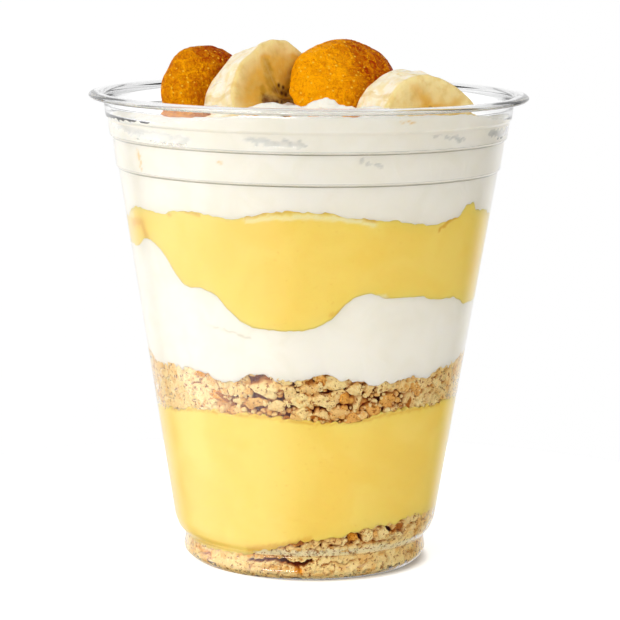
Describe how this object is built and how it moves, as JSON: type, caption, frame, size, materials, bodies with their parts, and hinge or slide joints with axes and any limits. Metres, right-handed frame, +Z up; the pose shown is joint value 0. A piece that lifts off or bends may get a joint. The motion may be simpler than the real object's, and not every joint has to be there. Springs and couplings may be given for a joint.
{
  "type": "banana parfait",
  "caption": "Layered dessert of biscuit crumbs, banana custard and cream in a clear tapered plastic cup with a rolled rim, topped with round biscuits and banana slices.",
  "frame": {"origin": "middle of the cup's foot, on the surface it stands on", "axes": "+Z up along the cup's axis; the side seen in the picture faces -Y, with +X to the right"},
  "size_m": [0.098, 0.098, 0.1168],
  "materials": {
    "clear_plastic": "clear glossy PET",
    "biscuit_crumb": "dry, crumbly, matt (food)",
    "custard": "smooth, moist, soft sheen (food)",
    "cream": "smooth, soft, nearly matt (food)",
    "biscuit": "baked, fine cracks and pits (food)",
    "banana": "moist cut fruit, soft sheen (food)"
  },
  "bodies": {
    "root": {"cup": "clear_plastic", "crumb_bottom": "biscuit_crumb", "custard_lower": "custard", "crumb_middle": "biscuit_crumb", "cream_middle": "cream", "custard_upper": "custard", "cream_top": "cream", "wafer_left": "biscuit", "wafer_right": "biscuit", "banana_left": "banana", "banana_right": "banana"}
  },
  "joints": []
}
